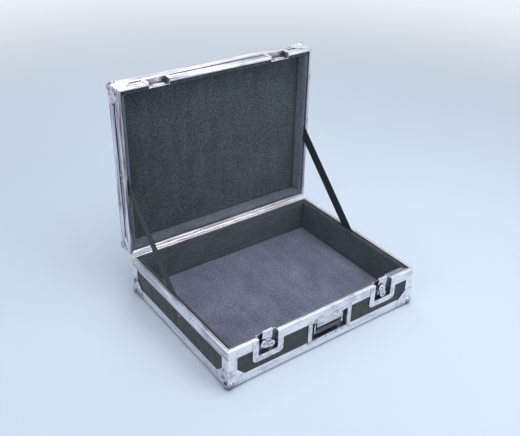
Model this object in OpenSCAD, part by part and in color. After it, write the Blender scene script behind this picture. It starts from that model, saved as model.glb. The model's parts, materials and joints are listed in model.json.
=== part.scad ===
// Flight case standing open: laminated plywood panels in aluminium edges, ball corners,
// recessed butterfly latches, a recessed sprung handle, a piano hinge and webbing stay straps.
// Origin: centre of the open case's footprint, on the surface that it stands on. +Z up, front at -Y.

/* [Case] */
// Width over the edge angles
case_w = 700; // [680:1:900]
// Depth over the edge angles, front to back
case_d = 550; // [500:1:700]
// Height of the base over its edge angles
base_h = 130; // [130:1:220]
// Height of the lid over its edge angles
lid_h = 63; // [62:1:90]
// Thickness of the plywood panels
panel_t = 7; // [6:0.5:8]
// Wall thickness of the aluminium extrusions
ext_t = 1.5; // [1.2:0.1:1.8]
// Gap between the two rims when the lid is closed
rim_gap = 0.3; // [0.2:0.05:0.6]

/* [Edges] */
// Leg of the edge angles
edge_leg = 30; // [26:1:30]
// Outer radius of the edge angles
edge_r = 3; // [2:0.5:4]
// Outer leg of the base's rim extrusion
base_rim_leg = 33; // [26:1:33]
// Panel strip that shows between the lid's rim and edge extrusions
lid_strip = 9; // [6:0.5:10]
// Height of the solid part of a rim extrusion above its panel
rim_cap = 5; // [4.5:0.5:7]
// Inner leg of the rim extrusions
rim_inner_leg = 8; // [5:0.5:8]
// Outer radius along the rims
rim_r = 1.4; // [0.8:0.1:1.4]
// Width of the groove in the base's rim
groove_w = 3.8; // [3.6:0.1:4.2]
// Depth of the groove
groove_d = 3; // [2.5:0.1:3.4]
// Side clearance of the tongue in the groove
tongue_clear = 0.55; // [0.5:0.05:0.7]
// Play between the tongue's tip and the groove's floor, lid closed
tongue_end_clear = 0.6; // [0.5:0.1:1]

/* [Ball corners] */
// Radius of the ball
ball_r = 15.5; // [15.3:0.1:15.8]
// How far the ball stands proud of the edges
ball_out = 6.5; // [6.3:0.1:6.8]
// Depth of the flat that a ball stands on
ball_land = 0.6; // [0.3:0.1:1]
// Leg of the corner plates
ball_leg = 60; // [46:1:60]
// Width of a corner plate at the end of its leg
ball_nose = 28; // [20:1:28]
// Sheet thickness of the corners
corner_t = 1.2; // [0.8:0.1:1.4]

/* [Rivets] */
// Radius of a rivet head
rivet_r = 2.6; // [2:0.1:2.8]
// Height of a rivet head
rivet_h = 1.1; // [0.8:0.1:1.4]
// Greatest distance between edge rivets
rivet_pitch = 110; // [80:5:160]
// Distance of the corner angles' rivets from the edge
corner_rivet_in = 14; // [12:1:18]

/* [Latches] */
// Distance of each latch from the case's side
latch_side = 133; // [115:1:160]
// Inner width of the latch recess
latch_w = 66; // [62:1:70]
// Inner height of the latch recess below the rim
latch_drop = 59; // [59:1:64]
// Inner depth of the latch and keeper recesses
latch_deep = 16; // [15.8:0.1:16.4]
// Flange around the latch recess
latch_flange = 19.5; // [14:0.5:20]
// Outer corner radius of the latch flange
latch_r = 15; // [8:1:16]
// Sheet thickness of the dishes
dish_t = 1.2; // [1:0.1:1.4]
// How far the latch flanges stand proud
flange_out = 1.8; // [1:0.1:2.2]
// Inner height of the keeper recess above the lid's rim
keeper_rise = 29; // [24:1:29]
// Flange above the keeper recess
keeper_flange = 13; // [8:0.5:14]
// Height of the spindle below the rim
spindle_drop = 33; // [33:0.5:34]
// Radius of the spindle
spindle_r = 3; // [2.5:0.1:3.2]
// Radius of the spindle's cam plate
cam_r = 15.5; // [15.5:0.1:16]
// Reach of the wing from the spindle
wing_reach = 25; // [24:0.5:25.5]
// Radius of the wing's lobes
lobe_r = 11; // [10:0.5:11.5]
// Thickness of the wing
wing_t = 2; // [1.6:0.1:2]
// Turn of each wing from level, clockwise, as it stands open (left, right)
wing_rest = [20, 70];
// Width of the claw
claw_w = 34; // [30:1:36]
// Thickness of the claw
claw_t = 1.8; // [1.4:0.1:1.8]
// How far the claw rises when the latch is open
claw_lift = 5; // [4:0.5:5]
// Lean of the claw when the latch is open
claw_lean = 5.5; // [5:0.1:5.8]
// Radius of the slider's cross pin
cross_pin_r = 1.5; // [1.2:0.1:1.7]

/* [Handle] */
// Distance of the handle from the case's middle, to the right
handle_x = 8; // [-20:1:20]
// Inner width of the handle recess
handle_w = 134; // [124:1:140]
// Inner depth of the handle recess
handle_deep = 18; // [17.8:0.1:18.4]
// Flange at the recess's left and right
handle_flange_x = 15; // [10:0.5:18]
// Flange above and below the recess
handle_flange_z = 11; // [8:0.5:11]
// Radius of the grip
grip_r = 8.2; // [7:0.1:8.4]
// Height of the finger gap under the grip
finger_gap = 11.3; // [11:0.1:14]
// Radius of the bail's pivot rod
bail_rod_r = 3; // [2.5:0.1:3.2]
// Thickness of the bail's arms
bail_arm_t = 4; // [3:0.1:4]
// Width of the bail's arms
bail_arm_w = 9; // [7:0.5:9]

/* [Hinge and straps] */
// Length of the piano hinge
hinge_len = 560; // [400:40:560]
// Outer radius of the hinge's knuckles
knuckle_r = 3.2; // [3:0.1:3.4]
// Radius of the hinge pin
hinge_pin_r = 1.5; // [1.2:0.1:1.7]
// Length of one knuckle with its gap
knuckle_pitch = 40; // [20:10:40]
// Height of the hinge leaves
leaf_h = 22; // [18:1:24]
// Distance from the hinge to where the straps cross the rims
strap_reach = 245; // [200:1:260]
// Width of the webbing
strap_w = 38; // [25:1:40]
// Thickness of the webbing
strap_t = 1.6; // [1.2:0.1:1.8]

/* [Lining] */
// Thickness of the wall lining, measured from the panel
pad_t = 14; // [13.5:0.5:18]
// Thickness of the floor and lid lining
floor_pad_t = 12; // [8:1:12]
// How far the wall lining stops below the rim
pad_drop = 5; // [3:0.5:8]
// Width of the foam block in the front right corner
block_w = 77; // [60:1:90]
// Depth of the foam block, from the front lining
block_t = 13; // [8:1:16]

/* [Hidden] */
$fn = 48;

// General fits
seat_gap = 0.3;      // soft parts and dishes to what carries them
running = 0.05;      // radial clearance of pins in their bores
past = 1;            // how far a cut runs past the face that it cuts

// Places
foot = ball_out - ball_land;
rim_w = panel_t + 2 * ext_t;
hinge_out = knuckle_r + 0.4;
rim_z = foot + base_h;
hinge_z = rim_z + rim_gap / 2;
lid_z = rim_z + rim_gap;
front_y = -(case_d + hinge_out + lid_h + rim_gap / 2) / 2;
back_y = front_y + case_d;
mid_y = front_y + case_d / 2;
hinge_y = back_y + hinge_out;
wall_in = ext_t + panel_t;
lid_rim_leg = lid_h - edge_leg - lid_strip;
groove_u = (rim_w - groove_w) / 2;
tongue_w = groove_w - 2 * tongue_clear;
tongue_h = groove_d + rim_gap - tongue_end_clear;

// Ball corner: the ball's centre, and how far the edge angles stop short of the corner
ball_in = ball_r - ball_out;
edge_back = ball_in + sqrt(pow(ball_r, 2) - pow(ball_in - ext_t, 2)) + seat_gap;

// Latch: its distance from the case's middle, and depths inwards from the front face
latch_x = case_w / 2 - latch_side;
wing_u = 0.9;
wing_pin_r = 1;
wing_barrel_r = 1.7;
wing_hinge_t = -9;
wing_pin_u = wing_u + wing_t / 2;
cam_u = 4.2;
cam_t = 1.5;
claw_u = 8.6;
claw_pin_u = claw_u + claw_t / 2;
claw_pin_drop = spindle_drop + 14;
claw_barrel_r = 3;
claw_barrel_w = 18;
slider_w = 28;
slider_ear_t = 4;
slider_h = 8;
hook_rise = 6.3;
hook_t = 2.2;
hook_in = 3.8;
ledge_rise = 3.5;
ledge_t = hook_rise - ledge_rise - seat_gap;
keeper_w = 36;
keeper_plate_t = 1.2;
lobe_s = wing_reach - lobe_r;

// Handle: heights above the base's lower edge
handle_low = edge_leg + dish_t + seat_gap;
handle_high = base_h - base_rim_leg - dish_t - seat_gap;
handle_h = handle_high - handle_low;
handle_mid = (handle_low + handle_high) / 2;
bail_u = 9.3;
bail_hub_r = 6;
bail_pivot_h = handle_high - bail_hub_r - 2;
bail_len = bail_pivot_h - handle_low - finger_gap - grip_r;
bail_arm_x = 52;
grip_bar_r = 4.5;
cover_w = 94;
cover_u = 1.2;
cover_t = 1.2;
cover_low = bail_hub_r + 2 + 0.6 * (bail_len - grip_r);
spring_turns = 5;
spring_pitch = 1.8;
spring_wire_r = 0.6;
spring_mean_r = bail_rod_r + 1.3;

// Straps and their rivets, as distances past the rim along the wall
strap_u = rim_w + running;
strap_rivet_r = 2;
strap_head_r = 2.8;
washer_r = 6.5;
washer_t = 0.8;
base_strap_rivets = [27, 48];
lid_strap_rivets = [16, 30];
base_strap_tail = 58;
lid_strap_tail = 38;

// Lining
pad_u = strap_u + strap_t + seat_gap;
washer_u = strap_u + strap_t + washer_t + rivet_h + seat_gap;
pad_in = wall_in + pad_t;
front_pad_u = rim_w + seat_gap;
strap_pocket = base_strap_tail + strap_w / 2;

aluminium = [0.82, 0.83, 0.85];
steel = [0.7, 0.71, 0.73];
laminate = [0.13, 0.13, 0.12];
plush = [0.27, 0.28, 0.33];
webbing = [0.08, 0.08, 0.08];
rubber = [0.06, 0.06, 0.07];

// Frames. A wall's own frame has X along the wall, Y inwards from its outer face and Z up.
// A tray is one half of the case with its closed face at Z = 0 and its rim at Z = its height.
function wall_turn(side) = side == "front" ? 0 : side == "right" ? 90 : side == "back" ? 180 : -90;
function wall_len(side) = side == "front" || side == "back" ? case_w : case_d;
function wall_reach(side) = side == "front" || side == "back" ? case_d / 2 : case_w / 2;
module at_wall(side)
  translate([0, mid_y, 0]) rotate(wall_turn(side)) translate([0, -wall_reach(side), 0]) children();
module at_corner(sx, sy)
  translate([sx * case_w / 2, mid_y + sy * case_d / 2, 0])
    mirror([sx > 0 ? 1 : 0, 0, 0]) mirror([0, sy > 0 ? 1 : 0, 0]) children();
module at_corners() for (sx = [-1, 1], sy = [-1, 1]) at_corner(sx, sy) children();
module base_tray() translate([0, 0, foot]) children();
module open_lid()
  translate([0, hinge_y, hinge_z]) rotate([-90, 0, 0]) translate([0, -hinge_y, -hinge_z]) children();
module lid_tray() open_lid() translate([0, 0, lid_z + lid_h]) mirror([0, 0, 1]) children();
module both_sides() for (i = [0, 1]) mirror([i, 0, 0]) children();

// Runs a profile (X inwards, Y up) along a wall, and turns it into a mitred length
module along(len) rotate([90, 0, 90]) linear_extrude(len, center = true) children();
module mitred(side, h) {
  half = wall_len(side) / 2;
  wide = edge_leg + past;
  intersection() {
    along(2 * half) children();
    translate([0, 0, -past]) linear_extrude(h + 2 * past)
      polygon([[-half, 0], [half, 0], [half - wide, wide], [wide - half, wide]]);
  }
}

// An L profile with a rounded outer edge at the origin
module angle_profile(leg, t, r) difference() {
  union() {
    translate([r, r]) circle(r);
    translate([r, 0]) square([leg - r, leg]);
    translate([0, r]) square([leg, leg - r]);
  }
  translate([t, t]) square(leg);
}

// The case's outline from above, with rounded corners
module case_outline(r) {
  for (sx = [-1, 1], sy = [-1, 1])
    translate([sx * (case_w / 2 - r), mid_y + sy * (case_d / 2 - r)]) circle(r);
  translate([-case_w / 2, front_y + r]) square([case_w, case_d - 2 * r]);
  translate([r - case_w / 2, front_y]) square([case_w - 2 * r, case_d]);
}

// Walls and floor of a tray
module floor_panel()
  translate([ext_t - case_w / 2, front_y + ext_t, ext_t])
    cube([case_w - 2 * ext_t, case_d - 2 * ext_t, panel_t]);
module wall_panel(side, h) {
  len = wall_len(side) - 2 * (wall_len(side) == case_w ? ext_t : wall_in);
  at_wall(side) translate([-len / 2, ext_t, wall_in]) cube([len, panel_t, h - rim_cap - wall_in]);
}

// Aluminium edges of a tray. They stop short of the balls.
module floor_edge(side) {
  half = wall_len(side) / 2 - edge_back;
  at_wall(side) intersection() {
    mitred(side, edge_leg) angle_profile(edge_leg, ext_t, edge_r);
    translate([-half, -past, -past]) cube([2 * half, edge_leg + 2 * past, edge_leg + 2 * past]);
  }
}
module corner_angle(h, leg)
  translate([0, 0, edge_leg]) linear_extrude(h - leg - edge_leg) angle_profile(edge_leg, ext_t, edge_r);
module rim_body(leg) {
  translate([0, -leg]) square([ext_t, leg - rim_cap]);
  translate([rim_w - ext_t, -rim_cap - rim_inner_leg]) square([ext_t, rim_inner_leg]);
  translate([0, -rim_cap]) square([rim_w, rim_cap - rim_r]);
  translate([rim_r, -rim_r]) square([rim_w - 2 * rim_r, rim_r]);
  for (u = [rim_r, rim_w - rim_r]) translate([u, -rim_r]) circle(rim_r);
}
module groove_profile(leg) difference() {
  rim_body(leg);
  translate([groove_u, -groove_d]) square([groove_w, groove_d + past]);
}
module tongue_profile(leg) {
  rim_body(leg);
  translate([groove_u + tongue_clear, -past]) square([tongue_w, tongue_h + past]);
}
module round_corners(h) intersection() {
  children();
  linear_extrude(h + past) case_outline(edge_r);
}
module base_rim(side)
  base_tray() round_corners(base_h)
    at_wall(side) mitred(side, base_h) translate([0, base_h]) groove_profile(base_rim_leg);
module lid_rim(side)
  lid_tray() round_corners(lid_h + tongue_h)
    at_wall(side) mitred(side, lid_h + tongue_h) translate([0, lid_h]) tongue_profile(lid_rim_leg);

// Pressed ball corner: three plates with a slanted edge, and the ball
module corner_plate_profile() intersection() {
  angle_outer_profile(ball_leg + corner_t, edge_r + corner_t);
  polygon([[0, 0], [ball_leg, 0], [ball_leg, ball_nose + corner_t], [ball_nose + corner_t, ball_leg],
    [0, ball_leg]]);
}
module angle_outer_profile(leg, r) {
  translate([r, r]) circle(r);
  translate([r, 0]) square([leg - r, leg]);
  translate([0, r]) square([leg, leg - r]);
}
module three_ways(depth) intersection() {
  linear_extrude(depth) children();
  translate([0, depth, 0]) rotate([90, 0, 0]) linear_extrude(depth) children();
  rotate([90, 0, 90]) linear_extrude(depth) children();
}
module ball_corner() difference() {
  union() {
    translate([ball_in, ball_in, ball_in]) sphere(ball_r);
    difference() {
      translate([-corner_t, -corner_t, -corner_t]) three_ways(ball_leg) corner_plate_profile();
      three_ways(2 * ball_leg) angle_outer_profile(2 * ball_leg, edge_r);
      translate([-past, -past, -past] * 2) cube(ball_in + 2 * past);
    }
  }
  translate([ball_in, ball_in, ball_in]) sphere(ball_r - corner_t);
  translate([ext_t, ext_t, ext_t]) cube(2 * ball_leg);
}

// Rivets: a domed head standing on a face at Z = 0
module rivet(r = rivet_r) {
  dome_r = (pow(r, 2) + pow(rivet_h, 2)) / (2 * rivet_h);
  rotate_extrude() intersection() {
    translate([0, rivet_h - dome_r]) circle(dome_r);
    square([r, rivet_h]);
  }
}
module rivet_at(x, z, out = 0) translate([x, -out, z]) rotate([90, 0, 0]) rivet();
function spread(len, margin) =
  let (n = ceil((len - 2 * margin) / rivet_pitch), step = (len - 2 * margin) / n)
  [for (i = [0:n]) -len / 2 + margin + i * step];
function clear_of(x, at, half) = abs(x - at) > half + 2 * rivet_r;
function latch_half() = latch_w / 2 + latch_flange;
function rim_spots(side, end) = [for (x = spread(wall_len(side), end))
  if (side != "front" || (clear_of(x, -latch_x, latch_half()) && clear_of(x, latch_x, latch_half()))) x];
module edge_rivets(side) at_wall(side) for (x = spread(wall_len(side), ball_leg + corner_rivet_in)) {
  rivet_at(x, edge_leg / 2 - corner_t);
  translate([x, edge_leg / 2, 0]) rotate([180, 0, 0]) rivet();
}
module rim_rivets(side, h, leg, end, out = 0)
  at_wall(side) for (x = rim_spots(side, end)) rivet_at(x, h - leg / 2, out);
module ball_rivets() for (turn = [0:2]) multmatrix(
  turn == 0 ? [[1, 0, 0, 0], [0, 1, 0, 0], [0, 0, 1, 0]] :
  turn == 1 ? [[0, 0, 1, 0], [1, 0, 0, 0], [0, 1, 0, 0]] : [[0, 1, 0, 0], [0, 0, 1, 0], [1, 0, 0, 0]])
  for (p = [[ball_in, ball_nose + rivet_r], [ball_nose + rivet_r, ball_in], [ball_nose, ball_nose]])
    rivet_at(p[0], p[1], corner_t);

// Drillings for the stay straps, through whatever they are cut from
module strap_drillings(r, base_too = true, lid_too = true, deep = pad_in) both_sides() {
  if (base_too) for (d = base_strap_rivets)
    translate([-case_w / 2 - past, hinge_y - strap_reach - d, hinge_z - d])
      rotate([0, 90, 0]) cylinder(h = past + deep, r = r);
  if (lid_too) for (d = lid_strap_rivets)
    translate([-case_w / 2 - past, hinge_y + d, hinge_z + strap_reach + d])
      rotate([0, 90, 0]) cylinder(h = past + deep, r = r);
}

// Base panels
module base_bottom_panel() color(laminate) base_tray() floor_panel();
module base_front_panel() color(laminate) base_tray() difference() {
  wall_panel("front", base_h);
  both_sides() at_latch(base_h) translate([-latch_cut / 2, 0, -latch_drop - dish_t - seat_gap])
    cube([latch_cut, wall_in + past, latch_drop + dish_t + 2 * past]);
  at_handle() translate([-handle_w / 2 - dish_t - seat_gap, 0, edge_leg])
    cube([handle_w + 2 * (dish_t + seat_gap), wall_in + past, base_h - base_rim_leg - edge_leg]);
}
module base_back_panel() color(laminate) base_tray() wall_panel("back", base_h);
module base_left_panel() color(laminate) difference() {
  base_tray() wall_panel("left", base_h);
  strap_drillings(strap_rivet_r + running, lid_too = false);
}
module base_right_panel() color(laminate) difference() {
  base_tray() wall_panel("right", base_h);
  strap_drillings(strap_rivet_r + running, lid_too = false);
}

// Base edges
module base_front_edge() color(aluminium) base_tray() floor_edge("front");
module base_back_edge() color(aluminium) base_tray() floor_edge("back");
module base_left_edge() color(aluminium) base_tray() floor_edge("left");
module base_right_edge() color(aluminium) base_tray() floor_edge("right");
module base_corner_angles() color(aluminium) base_tray() at_corners() corner_angle(base_h, base_rim_leg);

// The front rims are cut away where the latch dishes pass
latch_cut = latch_w + 2 * (dish_t + seat_gap);
module at_latch(h) translate([latch_x, front_y, h]) children();
module at_handle() translate([handle_x, front_y, 0]) children();
module rim_gaps(h) both_sides() at_latch(h)
  translate([-latch_cut / 2, -past, -base_rim_leg]) cube([latch_cut, 2 * rim_w, 2 * base_rim_leg]);
module base_front_rim() color(aluminium) difference() {
  base_rim("front");
  rim_gaps(rim_z);
}
module base_back_rim() color(aluminium) base_rim("back");
module base_left_rim() color(aluminium) difference() {
  base_rim("left");
  strap_drillings(strap_rivet_r + running, lid_too = false);
}
module base_right_rim() color(aluminium) difference() {
  base_rim("right");
  strap_drillings(strap_rivet_r + running, lid_too = false);
}
module base_ball_corners() color(steel) difference() {
  base_tray() at_corners() ball_corner();
  translate([-case_w, -case_d, -2 * ball_out]) cube([2 * case_w, 2 * case_d, 2 * ball_out]);
}

// All rivets of the base
module base_rivets() color(steel) base_tray() {
  for (side = ["front", "right", "back", "left"]) edge_rivets(side);
  for (side = ["front", "right", "left"]) rim_rivets(side, base_h, base_rim_leg, edge_leg);
  leaf_rivets(base_h - leaf_h / 2 - knuckle_r);
  at_corners() ball_rivets();
  at_corners() for (flip = [0, 1]) mirror([flip, -flip, 0])
    rivet_at(corner_rivet_in, base_h - base_rim_leg - corner_rivet_in);
  both_sides() at_latch(base_h) for (z = [-latch_flange, -latch_drop], s = [-1, 1])
    rivet_at(s * (latch_w + latch_flange) / 2, z, flange_out);
  at_handle() for (sx = [-1, 1], sz = [-1, 1])
    rivet_at(sx * (handle_w + handle_flange_x) / 2, handle_mid + sz * handle_h / 2, corner_t);
}
module leaf_rivets(z) at_wall("back")
  for (x = spread(hinge_len, knuckle_pitch / 2)) rivet_at(x, z, corner_t);

// Lining of the base: a floor pad, a pad on each wall, and a block beside the right latch, which
// stands on the bottom panel with the floor pad cut round it
module base_floor_pad() color(plush) base_tray() difference() {
  translate([pad_in + seat_gap - case_w / 2, front_y + pad_in + seat_gap, wall_in + seat_gap])
    cube([case_w - 2 * (pad_in + seat_gap), case_d - 2 * (pad_in + seat_gap), floor_pad_t]);
  corner_block(seat_gap);
}
module wall_pad(side, h, top_u, low_u, step) {
  len = wall_len(side) - 2 * (wall_len(side) == case_w ? front_pad_u : pad_in + seat_gap);
  low = wall_in + seat_gap;
  at_wall(side) along(len) polygon([[low_u, low], [pad_in, low], [pad_in, h - pad_drop],
    [top_u, h - pad_drop], [top_u, h - step], [low_u, h - step]]);
}
module base_front_pad() color(plush) base_tray() difference() {
  union() {
    wall_pad("front", base_h, front_pad_u, wall_in + seat_gap, rim_cap + rim_inner_leg + seat_gap);
    corner_block(0);
  }
  both_sides() at_latch(base_h) latch_pocket(latch_drop);
  at_handle() translate([-handle_w / 2 - dish_t - seat_gap, 0, handle_low - dish_t - seat_gap])
    cube([handle_w + 2 * (dish_t + seat_gap), handle_deep + dish_t + seat_gap,
      handle_h + 2 * (dish_t + seat_gap)]);
}
module corner_block(around) {
  low = wall_in + seat_gap;
  translate([case_w / 2 - pad_in - seat_gap - block_w - around, front_y + pad_in - around, low - around])
    cube([block_w + 2 * around, block_t + 2 * around, base_h - pad_drop - low + 2 * around]);
}
module latch_pocket(drop) translate([-latch_cut / 2, 0, -drop - dish_t - seat_gap])
  cube([latch_cut, latch_deep + 2 * dish_t + seat_gap, drop + 2 * dish_t + seat_gap]);
module base_back_pad() color(plush) base_tray()
  wall_pad("back", base_h, front_pad_u, wall_in + seat_gap, rim_cap + rim_inner_leg + seat_gap);
module base_side_pads() color(plush) difference() {
  base_tray() for (side = ["left", "right"]) wall_pad(side, base_h, pad_u, wall_in + seat_gap, strap_pocket);
  strap_drillings(washer_r + seat_gap, lid_too = false, deep = washer_u);
}

// Butterfly latch. Its frame has X across, Y inwards from the front face and Z up from the rim.
module flange_outline(w, low, high, flange, r) {
  half = w / 2 + flange;
  translate([-half, low - flange + r]) square([2 * half, high - low + flange - r]);
  for (s = [-1, 1]) translate([s * (half - r), low - flange + r]) circle(r);
  translate([r - half, low - flange]) square([2 * (half - r), r]);
}
module upright(from, to) translate([0, to, 0]) rotate([90, 0, 0]) linear_extrude(to - from) children();
module recess_dish(drop, flange, behind) difference() {
  union() {
    upright(-flange_out, 0) flange_outline(latch_w, -drop, 0, flange, latch_r);
    intersection() {
      upright(0, ext_t) flange_outline(latch_w, -drop, 0, flange, latch_r);
      translate([-latch_w, -past, -behind[1]]) cube([2 * latch_w, 2 * past + ext_t, behind[1] - behind[0]]);
    }
    translate([-latch_w / 2 - dish_t, 0, -drop - dish_t])
      cube([latch_w + 2 * dish_t, latch_deep + dish_t, drop + dish_t]);
  }
  translate([-latch_w / 2, -flange_out - past, -drop])
    cube([latch_w, latch_deep + flange_out + past, drop + past]);
}
module latch_dish() difference() {
  recess_dish(latch_drop, latch_flange, [base_rim_leg, base_h - edge_leg]);
  translate([0, 0, -spindle_drop]) rotate([-90, 0, 0]) cylinder(h = 2 * latch_deep, r = spindle_r + running);
}

// Spindle with its cam plate, the wing's hinge ears and pin, and the boss that shows in the wing
module latch_spindle(turn) translate([0, 0, -spindle_drop]) rotate([0, turn, 0]) {
  ear_in = claw_barrel_w / 2 - 1.4;
  translate([0, cam_u, 0]) rotate([-90, 0, 0])
    cylinder(h = latch_deep + 1.6 * dish_t - cam_u, r = spindle_r);
  translate([0, cam_u, 0]) rotate([-90, 0, 0]) cylinder(h = cam_t, r = cam_r);
  translate([0, wing_u + 0.3, 0]) rotate([-90, 0, 0]) cylinder(h = cam_u - wing_u, r = spindle_r + 0.2);
  for (s = [-1, 1]) translate([s * (ear_in + slider_ear_t / 2), 0, wing_hinge_t]) {
    translate([-slider_ear_t / 2, wing_pin_u, -wing_barrel_r])
      cube([slider_ear_t, cam_u - wing_pin_u + cam_t / 2, 2 * wing_barrel_r]);
    translate([-slider_ear_t / 2, wing_pin_u, 0]) rotate([0, 90, 0])
      cylinder(h = slider_ear_t, r = wing_barrel_r);
  }
  translate([-ear_in - slider_ear_t / 2, wing_pin_u, wing_hinge_t]) rotate([0, 90, 0])
    cylinder(h = 2 * ear_in + slider_ear_t, r = wing_pin_r);
}

// Folding wing: two lobes with a hole each, hinged at its lower edge
module latch_wing(turn) translate([0, 0, -spindle_drop]) rotate([0, turn, 0]) difference() {
  barrel_w = claw_barrel_w - 3.4;
  waist = 0.64 * lobe_r;
  union() {
    upright(wing_u, wing_u + wing_t) {
      for (s = [-1, 1]) translate([s * lobe_s, 0]) circle(lobe_r);
      translate([-lobe_s, -waist]) square([2 * lobe_s, 2 * waist]);
      translate([-barrel_w / 2, wing_hinge_t]) square([barrel_w, -wing_hinge_t]);
    }
    translate([-barrel_w / 2, wing_pin_u, wing_hinge_t]) rotate([0, 90, 0])
      cylinder(h = barrel_w, r = wing_barrel_r);
  }
  translate([-lobe_r, wing_pin_u, wing_hinge_t]) rotate([0, 90, 0])
    cylinder(h = 2 * lobe_r, r = wing_pin_r + running);
  for (s = [-1, 1]) translate([s * lobe_s, 0, 0]) rotate([-90, 0, 0])
    cylinder(h = 2 * cam_u, r = 0.24 * lobe_r);
  rotate([-90, 0, 0]) cylinder(h = 2 * cam_u, r = spindle_r + 1.6);
  for (s = [-1, 1]) translate([s * (barrel_w + slider_ear_t + 0.4) / 2, 0, wing_hinge_t])
    translate([-slider_ear_t / 2 - 0.6, 0, -2 * wing_barrel_r])
      cube([slider_ear_t + 1, 2 * cam_u, 3.2 * wing_barrel_r]);
}

// Slider: the cross pin that carries the claw, between two ears
module latch_slider() translate([0, 0, claw_lift - claw_pin_drop]) {
  back_u = latch_deep - seat_gap;
  bar_u = claw_pin_u + claw_barrel_r + 0.6;
  translate([-slider_w / 2, bar_u, -slider_h / 2]) cube([slider_w, back_u - bar_u, slider_h]);
  for (s = [-1, 1]) translate([s * (slider_w - slider_ear_t) / 2, claw_u - 1, -slider_h / 2])
    translate([-slider_ear_t / 2, 0, 0]) cube([slider_ear_t, back_u - claw_u + 1, slider_h]);
  translate([-slider_w / 2, claw_pin_u, 0]) rotate([0, 90, 0]) cylinder(h = slider_w, r = cross_pin_r);
}

// Claw: a plate with a slot round the spindle, a hook at its top and a barrel on the cross pin
module latch_claw() translate([0, 0, claw_lift - claw_pin_drop]) translate([0, claw_pin_u, 0])
  rotate([claw_lean, 0, 0]) translate([0, -claw_pin_u, 0]) difference() {
    wide_from = slider_h / 2 + 1.4;
    top = claw_pin_drop + hook_rise + hook_t;
    slot_half = spindle_r + 0.6;
    slot_mid = claw_pin_drop - spindle_drop;
    union() {
      translate([-claw_w / 2, claw_u, wide_from]) cube([claw_w, claw_t, top - wide_from]);
      translate([-claw_barrel_w / 2, claw_u, 0]) cube([claw_barrel_w, claw_t, wide_from + past]);
      translate([-claw_w / 2, claw_u, top - hook_t]) cube([claw_w, claw_t + hook_in, hook_t]);
      translate([-claw_barrel_w / 2, claw_pin_u, 0]) rotate([0, 90, 0])
        cylinder(h = claw_barrel_w, r = claw_barrel_r);
    }
    translate([-claw_w, claw_pin_u, 0]) rotate([0, 90, 0])
      cylinder(h = 2 * claw_w, r = cross_pin_r + running);
    translate([-slot_half, claw_u - past, slot_mid - claw_lift - slot_half])
      cube([2 * slot_half, claw_t + 2 * past, claw_lift + 2 * slot_half]);
  }

module left_latch() translate([-latch_x, front_y, rim_z]) children();
module right_latch() translate([latch_x, front_y, rim_z]) children();
module latch_left_dish() color(steel) left_latch() latch_dish();
module latch_left_spindle() color(steel) left_latch() latch_spindle(wing_rest[0]);
module latch_left_wing() color(steel) left_latch() latch_wing(wing_rest[0]);
module latch_left_slider() color(steel) left_latch() latch_slider();
module latch_left_claw() color(steel) left_latch() latch_claw();
module latch_right_dish() color(steel) right_latch() latch_dish();
module latch_right_spindle() color(steel) right_latch() latch_spindle(wing_rest[1]);
module latch_right_wing() color(steel) right_latch() latch_wing(wing_rest[1]);
module latch_right_slider() color(steel) right_latch() latch_slider();
module latch_right_claw() color(steel) right_latch() latch_claw();

// Handle dish: flange, seat behind it on the panel, and a recess with bores for the pivot rod
module handle_dish() color(steel) base_tray() at_handle() difference() {
  box_w = handle_w + 2 * dish_t;
  union() {
    translate([-handle_w / 2 - handle_flange_x, -corner_t, handle_low - handle_flange_z])
      cube([handle_w + 2 * handle_flange_x, corner_t, handle_h + 2 * handle_flange_z]);
    translate([-handle_w / 2 - handle_flange_x, 0, edge_leg])
      cube([handle_w + 2 * handle_flange_x, ext_t, base_h - base_rim_leg - edge_leg]);
    translate([-box_w / 2, 0, handle_low - dish_t])
      cube([box_w, handle_deep + dish_t, handle_h + 2 * dish_t]);
  }
  translate([-handle_w / 2, -2 * corner_t, handle_low])
    cube([handle_w, handle_deep + 2 * corner_t, handle_h]);
  translate([-handle_w, bail_u, bail_pivot_h]) rotate([0, 90, 0])
    cylinder(h = 2 * handle_w, r = bail_rod_r + running);
}

// Sheet that covers the springs in the upper part of the recess
module handle_cover() color(steel) base_tray() at_handle() translate([-cover_w / 2, 0, handle_high]) {
  translate([0, cover_u, -cover_low]) cube([cover_w, cover_t, cover_low]);
  translate([0, cover_u, -cover_t]) cube([cover_w, handle_deep / 2, cover_t]);
}

// Bail: pivot rod, two arms and the bar inside the grip
module handle_bail() color(steel) base_tray() at_handle() translate([0, bail_u, bail_pivot_h]) {
  rod = handle_w + 2 * dish_t;
  translate([-rod / 2, 0, 0]) rotate([0, 90, 0]) cylinder(h = rod, r = bail_rod_r);
  for (s = [-1, 1]) translate([s * bail_arm_x - bail_arm_t / 2, 0, 0]) {
    rotate([0, 90, 0]) cylinder(h = bail_arm_t, r = bail_hub_r);
    translate([0, 0, -bail_len]) rotate([0, 90, 0]) cylinder(h = bail_arm_t, r = bail_hub_r);
    translate([0, -bail_arm_w / 2, -bail_len]) cube([bail_arm_t, bail_arm_w, bail_len]);
  }
  translate([-bail_arm_x, 0, -bail_len]) rotate([0, 90, 0])
    cylinder(h = 2 * bail_arm_x, r = grip_bar_r);
}
module handle_grip() color(rubber) base_tray() at_handle()
  translate([0, bail_u, bail_pivot_h - bail_len]) rotate([0, 90, 0]) rotate_extrude() {
    half = bail_arm_x - bail_arm_t / 2 - seat_gap;
    bore = grip_bar_r + running;
    round_r = 2.4;
    difference() {
      union() {
        translate([bore, -half]) square([grip_r - round_r - bore, 2 * half]);
        translate([bore, round_r - half]) square([grip_r - bore, 2 * (half - round_r)]);
        for (s = [-1, 1]) translate([grip_r - round_r, s * (half - round_r)]) circle(round_r);
      }
      translate([bore - 2 * grip_r, -2 * half]) square([2 * grip_r, 4 * half]);
    }
  }

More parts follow.
